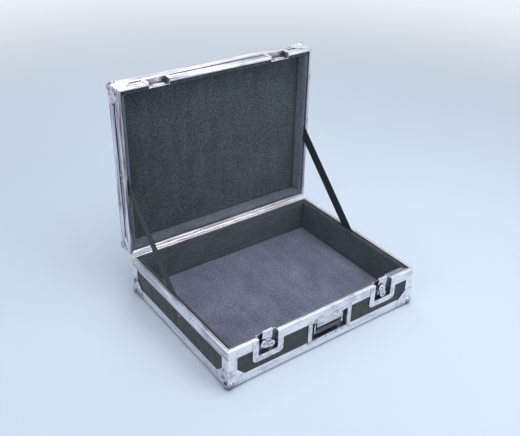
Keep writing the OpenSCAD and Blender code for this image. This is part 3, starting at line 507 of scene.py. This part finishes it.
rubber, tree, shader, place = finish("moulded rubber", (0.03, 0.038, 0.044), 0, 0.5)
handled = cloud(tree, place, (70, 70, 70), 4, 0.5)
rubber_tone = shades(tree, handled, (0.3, (0.06, 0.078, 0.09)), (0.7, (0.105, 0.13, 0.148)))
tree.links.new(rubber_tone, shader.inputs["Base Color"])
tree.links.new(shades(tree, handled, (0.3, 0.38), (0.7, 0.6)), shader.inputs["Roughness"])
emboss(tree, shader, cloud(tree, place, (1500, 1500, 1500), 2), 0.00008)
low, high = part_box("handle_grip")
grip_radius = (high.z - low.z) / 2
grip_half = (high.x - low.x) / 2
bore_radius = 0.00455
bore_lip = 0.0006
shoulder = 0.0024
collar = 0.007
rib_pitch = 0.0033
rib_depth = 0.0006
rib_outline = ((0.08, 1), (0.3, 1), (0.42, 0.12), (0.7, 0), (0.96, 0.12))
ribs = int(2 * (grip_half - collar) / rib_pitch)
start = -ribs * rib_pitch / 2
end_profile = [(-grip_half, bore_radius + bore_lip), (-grip_half, grip_radius - shoulder)]
for angle in (0.5, 1.05, 1.57):
    at = -grip_half + shoulder * (1 - math.cos(angle))
    end_profile.append((at, grip_radius - shoulder * (1 - math.sin(angle))))
profile = list(end_profile)
for rib in range(ribs):
    for part, depth in rib_outline:
        profile.append((start + (rib + part) * rib_pitch, grip_radius - rib_depth * depth))
profile += [(-at, radius) for at, radius in reversed(end_profile)]
profile += [(grip_half, bore_radius), (-grip_half, bore_radius)]
middle = [(near + far) / 2 for near, far in zip(low, high)]
grip = lathe("handle_grip_moulded", profile, middle, sides=40)
settled(grip, rubber, ["handle_grip"], "handle")


# Handle springs: two torsion springs of black oiled wire, wound round the pivot rod. Each has a tail
# that presses on the back of the dish.
spring_wire, tree, shader, place = finish("oiled spring wire", (0.13, 0.13, 0.14), 1, 0.35)
oil = cloud(tree, place, (500, 500, 500), 3)
oiled = shades(tree, oil, (0.3, (0.07, 0.07, 0.075)), (0.7, (0.2, 0.2, 0.21)))
tree.links.new(oiled, shader.inputs["Base Color"])
tree.links.new(shades(tree, oil, (0.3, 0.28), (0.7, 0.5)), shader.inputs["Roughness"])


def group(name, *sockets):
    """A Geometry Nodes tree with a geometry and the named inputs, and these inputs' identifiers."""
    tree = bpy.data.node_groups.new(name, "GeometryNodeTree")
    tree.interface.new_socket("Geometry", in_out="OUTPUT", socket_type="NodeSocketGeometry")
    ids = {}
    for label, kind in (("Geometry", "Geometry"), *sockets):
        made = tree.interface.new_socket(label, in_out="INPUT", socket_type=f"NodeSocket{kind}")
        ids[label] = made.identifier
    return tree, ids, tree.nodes.new("NodeGroupInput"), tree.nodes.new("NodeGroupOutput")


def chain(tree, geometry, *steps):
    """Runs a geometry through nodes one after the other."""
    for step in steps:
        tree.links.new(geometry, next(s for s in step.inputs if s.type == "GEOMETRY" and not s.is_linked))
        geometry = step.outputs[0]
    return geometry


def grown(name, mesh, tree, ids, sizes, nodes, body):
    """Makes a piece with a Geometry Nodes tree, whose inputs are set by identifier."""
    piece = into_scene(name, mesh)
    modifier = piece.modifiers.new(name, "NODES")
    modifier.node_group = tree
    for label, size in sizes.items():
        modifier[ids[label]] = size
    return settled(piece, None, nodes, body)


tree, ids, given, out = group("wire along a line", ("Wire radius", "Float"), ("Finish", "Material"))
section = put_node(tree, "GeometryNodeCurvePrimitiveCircle", Resolution=10)
tree.links.new(given.outputs["Wire radius"], section.inputs["Radius"])
sweep = put_node(tree, "GeometryNodeCurveToMesh")
sweep.inputs["Fill Caps"].default_value = True
coat = put_node(tree, "GeometryNodeSetMaterial")
tree.links.new(given.outputs["Finish"], coat.inputs["Material"])
tree.links.new(section.outputs[0], sweep.inputs["Profile Curve"])
line = chain(tree, given.outputs[0], put_node(tree, "GeometryNodeMeshToCurve"))
tree.links.new(line, sweep.inputs["Curve"])
tree.links.new(chain(tree, sweep.outputs[0], put_node(tree, "GeometryNodeSetShadeSmooth"),
                     put_node(tree, "GeometryNodeRealizeInstances"), coat), out.inputs[0])
low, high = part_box("handle_springs")
wire_radius = 0.0006
coil_radius = 0.0043
coil_pitch = 0.0018
turns = 5
points_a_turn = 24
tail = (0.0015, 0.003, 0.005)
pivot = Vector(next(j["pos_m"] for j in frame["joints"] if j["name"] == "handle_swing"))
wire_points, wire_edges = [], []
for way in (-1, 1):
    inner = (high.x - low.x) / 2 - wire_radius - turns * coil_pitch
    for step in range(turns * points_a_turn + 1):
        angle = 2 * math.pi * step / points_a_turn
        out_to = way * (inner + coil_pitch * step / points_a_turn)
        wound = (out_to, coil_radius * math.sin(angle), coil_radius * math.cos(angle))
        wire_points.append(pivot + Vector(wound))
    for reach in tail:
        wire_points.append(pivot + Vector((way * (inner + turns * coil_pitch), reach, coil_radius)))
    first = 0 if way < 0 else len(wire_points) // 2
    wire_edges += [(i, i + 1) for i in range(first, len(wire_points) - 1)]
wire_line = bpy.data.meshes.new("spring_line")
wire_line.from_pydata(wire_points, wire_edges, [])
grown("handle_springs_wound", wire_line, tree, ids, {"Wire radius": wire_radius, "Finish": spring_wire},
      ["handle_springs"], body_of["handle_springs"])


# Rivets: domed steel heads with the small dimple that the setting tool leaves. They hold the angles,
# rims, dishes, hinge and corners to the panels.
# Shade is painted round the heads, within 2.5 mm.
rivet_steel = plated_steel("rivet steel", bright=(0.75, 0.76, 0.78), dull=(0.5, 0.5, 0.52),
                           roughness=0.2, to_the_metre=150, dent=0.0001, shade_reach=0.0025)
rivet_radius = 0.0026
rivet_height = 0.0011
roundness = 2.4
dimple_reach = 0.35
dimple_depth = 0.45
tree, ids, given, out = group("rivet heads", ("Head radius", "Float"), ("Head height", "Float"),
                              ("Finish", "Material"))
blank = put_node(tree, "GeometryNodeMeshCone", Vertices=12, Side_Segments=5)
blank.inputs["Radius Top"].default_value = 0
tree.links.new(given.outputs["Head radius"], blank.inputs["Radius Bottom"])
tree.links.new(given.outputs["Head height"], blank.inputs["Depth"])
where = put_node(tree, "ShaderNodeSeparateXYZ")
tree.links.new(put_node(tree, "GeometryNodeInputPosition").outputs[0], where.inputs[0])
squares = [worked_out(tree, "POWER", where.outputs[i], 2) for i in (0, 1)]
off_axis = worked_out(tree, "SQRT", worked_out(tree, "ADD", *squares))
share = worked_out(tree, "DIVIDE", off_axis, given.outputs["Head radius"])
below_rim = worked_out(tree, "SUBTRACT", 1, worked_out(tree, "POWER", share, roundness))
dome = worked_out(tree, "SQRT", worked_out(tree, "MAXIMUM", 0, below_rim))
in_dimple = worked_out(tree, "SUBTRACT", 1, worked_out(tree, "DIVIDE", share, dimple_reach))
dimple = worked_out(tree, "MULTIPLY", dimple_depth, worked_out(tree, "MAXIMUM", 0, in_dimple))
dented = worked_out(tree, "SUBTRACT", dome, dimple)
lift = worked_out(tree, "MULTIPLY", given.outputs["Head height"], dented)
shaped = put_node(tree, "ShaderNodeCombineXYZ")
for i, source in enumerate((where.outputs[0], where.outputs[1], lift)):
    tree.links.new(source, shaped.inputs[i])
form = put_node(tree, "GeometryNodeSetPosition")
tree.links.new(shaped.outputs[0], form.inputs["Position"])
head = chain(tree, blank.outputs["Mesh"], form, put_node(tree, "GeometryNodeSetShadeSmooth"))
facing = put_node(tree, "GeometryNodeInputNamedAttribute")
facing.data_type = "FLOAT_VECTOR"
facing.inputs["Name"].default_value = "facing"
stand = put_node(tree, "FunctionNodeAlignRotationToVector")
stand.axis = "Z"
tree.links.new(facing.outputs[0], stand.inputs["Vector"])
each = put_node(tree, "GeometryNodeInstanceOnPoints")
tree.links.new(given.outputs[0], each.inputs["Points"])
tree.links.new(head, each.inputs["Instance"])
tree.links.new(stand.outputs[0], each.inputs["Rotation"])
coat = put_node(tree, "GeometryNodeSetMaterial")
tree.links.new(given.outputs["Finish"], coat.inputs["Material"])
whole = chain(tree, each.outputs[0], put_node(tree, "GeometryNodeRealizeInstances"), coat)
tree.links.new(whole, out.inputs[0])


def rivet_seats(node):
    """The middle of each rivet's base and the way that the rivet faces, from the CAD node's solids."""
    shell = welded(node)
    seats, ways, met = [], [], set()
    for vert in shell.verts:
        if vert in met:
            continue
        met.add(vert)
        island, edge = [vert], [vert]
        while edge:
            fresh = [link.other_vert(v) for v in edge for link in v.link_edges]
            edge = [v for v in dict.fromkeys(fresh) if v not in met]
            met.update(edge)
            island += edge
        points = np.array([v.co for v in island])
        lowest, highest = points.min(0), points.max(0)
        middle = (lowest + highest) / 2
        axis = int(np.argmin(highest - lowest))
        off = points - middle
        off[:, axis] = 0
        rim = points[int(np.argmax((off ** 2).sum(1)))][axis]
        way = np.zeros(3)
        way[axis] = 1 if rim < middle[axis] else -1
        middle[axis] = rim
        seats.append(middle)
        ways.append(way)
    shell.free()
    mesh = bpy.data.meshes.new(node + "_seats")
    mesh.from_pydata([tuple(s) for s in seats], [], [])
    facing = mesh.attributes.new("facing", "FLOAT_VECTOR", "POINT")
    facing.data.foreach_set("vector", np.array(ways).ravel())
    return mesh


for node in ("base_rivets", "lid_rivets"):
    grown(f"{node}_set", rivet_seats(node), tree, ids,
          {"Head radius": rivet_radius, "Head height": rivet_height, "Finish": rivet_steel},
          [node], body_of[node])


# Lining: foam sheets faced with short grey pile, cut to size and glued to the floor, walls and lid.
# Their edges are soft, and the pile is brushed in streaks. The pieces take lighter and darker copies
# of the pile as painted light and shade, and the tops of the walls are painted darkest as painted shade.
def pile_cloth(name, dark, light, brushed, painted_light_slope=(0, 0, 0)):
    """Short pile. Brushed is the strokes to the metre along each axis, fewest along the brushing, and
    painted_light_slope is the share by which the pile is painted lighter over a metre of each axis,
    as painted light."""
    made, tree, shader, place = finish(name, light, 0, 0.95)
    shader.inputs["Specular IOR Level"].default_value = 0.15
    shader.inputs["Sheen Weight"].default_value = 0.2
    shader.inputs["Sheen Roughness"].default_value = 0.6
    shader.inputs["Sheen Tint"].default_value = (0.75, 0.8, 0.95, 1)
    tufts = cloud(tree, place, (260,) * 3, 3)
    fibres = cloud(tree, place, (1500,) * 3, 3)
    tone = shades(tree, tufts, (0.36, dark), (0.64, light))
    for amount, source, thin, thick in (
        (0.45, cloud(tree, place, (110,) * 3, 3, 0.6), 0.76, 1.2),
        (0.7, cloud(tree, place, brushed, 3, 1.2), 0.86, 1.13),
        (1.0, cloud(tree, place, (5,) * 3, 3, 1.5), 0.84, 1.14),
    ):
        tone = overlaid(tree, "MULTIPLY", amount, tone, shades(tree, source, (0.36, thin), (0.64, thick)))
    # Painted light: the pile is painted lighter along painted_light_slope.
    fade = put_node(tree, "ShaderNodeVectorMath")
    fade.operation = "DOT_PRODUCT"
    fade.inputs[1].default_value = painted_light_slope
    tree.links.new(place, fade.inputs[0])
    tone = overlaid(tree, "MULTIPLY", 1.0, tone, worked_out(tree, "ADD", fade.outputs["Value"], 1))
    tree.links.new(tone, shader.inputs["Base Color"])
    emboss(tree, shader, fibres, 0.0005, emboss(tree, shader, tufts, 0.0012))
    return made


pad_mesh = 0.004
swells = ((0.0005, 16), (0.00022, 75))
edge_tilt = 0.35


def soft_pad(node, material):
    """A pad's CAD solid as foam: an even mesh with soft edges and a shallow swell."""
    piece = merged_copy(node, node + "_lining")
    remesh = piece.modifiers.new("even mesh", "REMESH")
    remesh.mode = "VOXEL"
    remesh.voxel_size = pad_mesh
    remesh.use_smooth_shade = True
    relax = piece.modifiers.new("soft edges", "SMOOTH")
    relax.factor = 0.5
    relax.iterations = 2
    settled(piece, material, [node], body_of[node])
    mesh = piece.data
    normals = [v.normal.copy() for v in mesh.vertices]
    for vert, normal in zip(mesh.vertices, normals):
        swell = sum(height * noise.noise(vert.co * to_the_metre) for height, to_the_metre in swells)
        vert.co += normal * swell
    mesh.shade_smooth()
    return piece


# These piles are one cloth in lighter and darker copies, as painted light and shade: the floor and pale piles
# painted lit, the wall and lid piles painted shaded, and the wall-top pile darkest.
floor_cloth = pile_cloth("floor pile", (0.097, 0.103, 0.155), (0.222, 0.233, 0.328), (30, 6, 30),
                         painted_light_slope=(0, -0.25, 0))
wall_cloth = pile_cloth("wall pile", (0.041, 0.055, 0.062), (0.108, 0.141, 0.156), (8, 40, 40))
pale_cloth = pile_cloth("pale pile", (0.135, 0.162, 0.2), (0.262, 0.305, 0.36), (8, 40, 40))
lid_cloth = pile_cloth("lid pile", (0.031, 0.041, 0.044), (0.097, 0.124, 0.132), (45, 45, 6),
                       painted_light_slope=(0.45, 0, -0.1))
lid_wall_cloth = pile_cloth("lid wall pile", (0.078, 0.095, 0.125), (0.172, 0.197, 0.245), (10, 40, 40))
wall_top_shade_cloth = pile_cloth("pile with painted wall-top shade", (0.026, 0.025, 0.029), (0.066, 0.06, 0.066), (8, 40, 40))
for node, cloth in (("base_floor_pad", floor_cloth), ("base_front_pad", pale_cloth),
                    ("base_back_pad", wall_cloth), ("base_side_pads", wall_cloth),
                    ("lid_top_pad", lid_cloth)):
    lining = soft_pad(node, cloth)
    if cloth is wall_cloth:
        lining.data.materials.append(wall_top_shade_cloth)
        # Faces that look up, along the wall tops, take the darkest pile as painted shade.
        for face in lining.data.polygons:
            face.material_index = int(face.normal.z > edge_tilt)

wall_pads = soft_pad("lid_wall_pads", lid_wall_cloth)
wall_pads.data.materials.append(lid_cloth)
wall_pads.data.materials.append(pale_cloth)
low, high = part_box("lid_top_pad")
# The top wall pad takes the darker lid pile as painted shade, and the right wall pad the pale pile as painted
# light.
for face in wall_pads.data.polygons:
    if face.center.z > high.z:
        face.material_index = 1
    elif face.center.x > high.x and face.normal.y > -edge_tilt:
        face.material_index = 2


# Stay straps: flat black polypropylene webbing, riveted inside the side walls of base and lid. They
# hold the lid upright, and are built straight as they lie with the lid open.
webbing = bpy.data.materials.new("woven webbing")
webbing.use_nodes = True
tree = webbing.node_tree
shader = tree.nodes["Principled BSDF"]
shader.inputs["Roughness"].default_value = 0.75
shader.inputs["Sheen Weight"].default_value = 0.05
weave_place = put_node(tree, "ShaderNodeUVMap")
weave_place.uv_map = "weave"
wave_turn = 6.2832
heights = []
for direction, ribs_to_the_metre in (("X", 420), ("Y", 560)):
    rib = put_node(tree, "ShaderNodeTexWave", Scale=ribs_to_the_metre / wave_turn, Distortion=0.4, Detail=1)
    rib.bands_direction = direction
    tree.links.new(weave_place.outputs["UV"], rib.inputs["Vector"])
    heights.append(rib.outputs["Fac"])
woven = overlaid(tree, "MULTIPLY", 0.7, heights[0], heights[1])
fuzz = cloud(tree, tree.nodes.new("ShaderNodeTexCoord").outputs["Object"], (90, 90, 90), 4)
yarn = shades(tree, woven, (0.0, (0.010, 0.015, 0.017)), (0.8, (0.034, 0.049, 0.053)))
fuzzed = overlaid(tree, "MULTIPLY", 0.6, yarn, shades(tree, fuzz, (0.3, 0.6), (0.7, 1.2)))
tree.links.new(fuzzed, shader.inputs["Base Color"])
emboss(tree, shader, woven, 0.0004)

strap_width = 0.038
selvedge = 0.0009
selvedge_curve = (0.3, 0.7)
ridges = 12
furrow = 0.94
cut_end = 0.985
lengths = 110
for node in ("strap_left", "strap_right"):
    low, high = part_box(node)
    half = strap_width / 2
    inset = half / math.sqrt(2)
    middle_x = (low.x + high.x) / 2
    half_thick = (high.x - low.x) / 2
    begin = Vector((middle_x, low.y + inset, low.z + inset))
    finish_at = Vector((middle_x, high.y - inset, high.z - inset))
    run = finish_at - begin
    side_way = Vector((0, -1, 1)).normalized()
    edge = (half - selvedge_curve[0] * selvedge, selvedge_curve[1] * half_thick)
    ring = [(half, 0.0), edge]
    for i in range(ridges + 1):
        across = half - selvedge - i * (strap_width - 2 * selvedge) / ridges
        ring.append((across, half_thick * (1 if i % 2 else furrow)))
    ring += [(-edge[0], edge[1]), (-half, 0.0)]
    ring += [(u, -t) for u, t in reversed(ring[1:-1])]
    points, uvs = [], []
    for i in range(lengths + 1):
        centre = begin + run * (i / lengths)
        drawn_in = cut_end if i in (0, lengths) else 1
        for u, t in ring:
            points.append(centre + side_way * (u * drawn_in) + Vector((t * drawn_in, 0, 0)))
            uvs.append((run.length * i / lengths, u))
    count = len(ring)
    faces = [(i * count + k, i * count + (k + 1) % count, (i + 1) * count + (k + 1) % count,
              (i + 1) * count + k) for i in range(lengths) for k in range(count)]
    faces += [tuple(range(count)), tuple(lengths * count + k for k in reversed(range(count)))]
    mesh = outward(node + "_webbing", points, faces)
    layer = mesh.uv_layers.new(name="weave")
    for loop in mesh.loops:
        layer.data[loop.index].uv = uvs[loop.vertex_index]
    mesh.shade_smooth()
    strap = settled(into_scene(node + "_webbing", mesh), webbing, [node], None)
    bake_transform(strap)


# Strap rivets: solid steel rivets, clinched through the side wall and the webbing. Each has a washer
# inside that spreads the pull on the webbing.
for node in ("base_strap_rivets", "lid_strap_rivets"):
    eased(node, rivet_steel, "clinched", width=0.00015, sharp=50)
